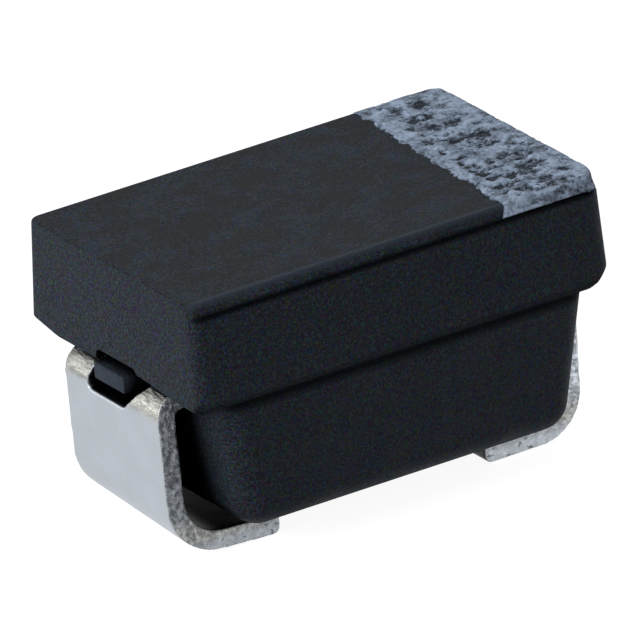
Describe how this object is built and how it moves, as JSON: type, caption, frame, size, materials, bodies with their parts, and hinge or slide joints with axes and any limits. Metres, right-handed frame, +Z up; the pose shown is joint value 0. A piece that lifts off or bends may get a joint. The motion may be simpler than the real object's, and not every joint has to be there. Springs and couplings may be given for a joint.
{
  "type": "tantalum capacitor",
  "caption": "Moulded chip tantalum capacitor: black epoxy block with a pale polarity band, over two tinned strap terminals folded under it as solder feet.",
  "frame": {"origin": "on the seating plane, under the middle of the case", "axes": "+X along the length, towards the anode end with the polarity band; +Z up from the board"},
  "size_m": [0.002, 0.0014, 0.0012],
  "materials": {
    "moulded_epoxy": "matt black moulding with a fine mottled grain",
    "laser_mark": "rough pale grey laser-marked field with dark pits",
    "tinned_lead_frame": "matt tin plate, with duller sheared edges",
    "sintered_tantalum": "porous sintered metal",
    "tantalum_wire": "drawn wire",
    "manganese_dioxide": "dull black-brown crust",
    "graphite": "soft sheen",
    "silver_paint": "matt silver paint",
    "silver_epoxy": "grainy silver adhesive",
    "fluoropolymer": "waxy white",
    "weld_metal": "melted and set metal"
  },
  "bodies": {
    "root": {"case": "moulded_epoxy", "polarity_band": "laser_mark", "cathode_terminal": "tinned_lead_frame", "anode_terminal": "tinned_lead_frame", "tantalum_pellet": "sintered_tantalum", "anode_wire": "tantalum_wire", "manganese_dioxide_coat": "manganese_dioxide", "graphite_coat": "graphite", "silver_coat": "silver_paint", "silver_adhesive": "silver_epoxy", "insulating_washer": "fluoropolymer", "weld_bead": "weld_metal"}
  },
  "joints": []
}
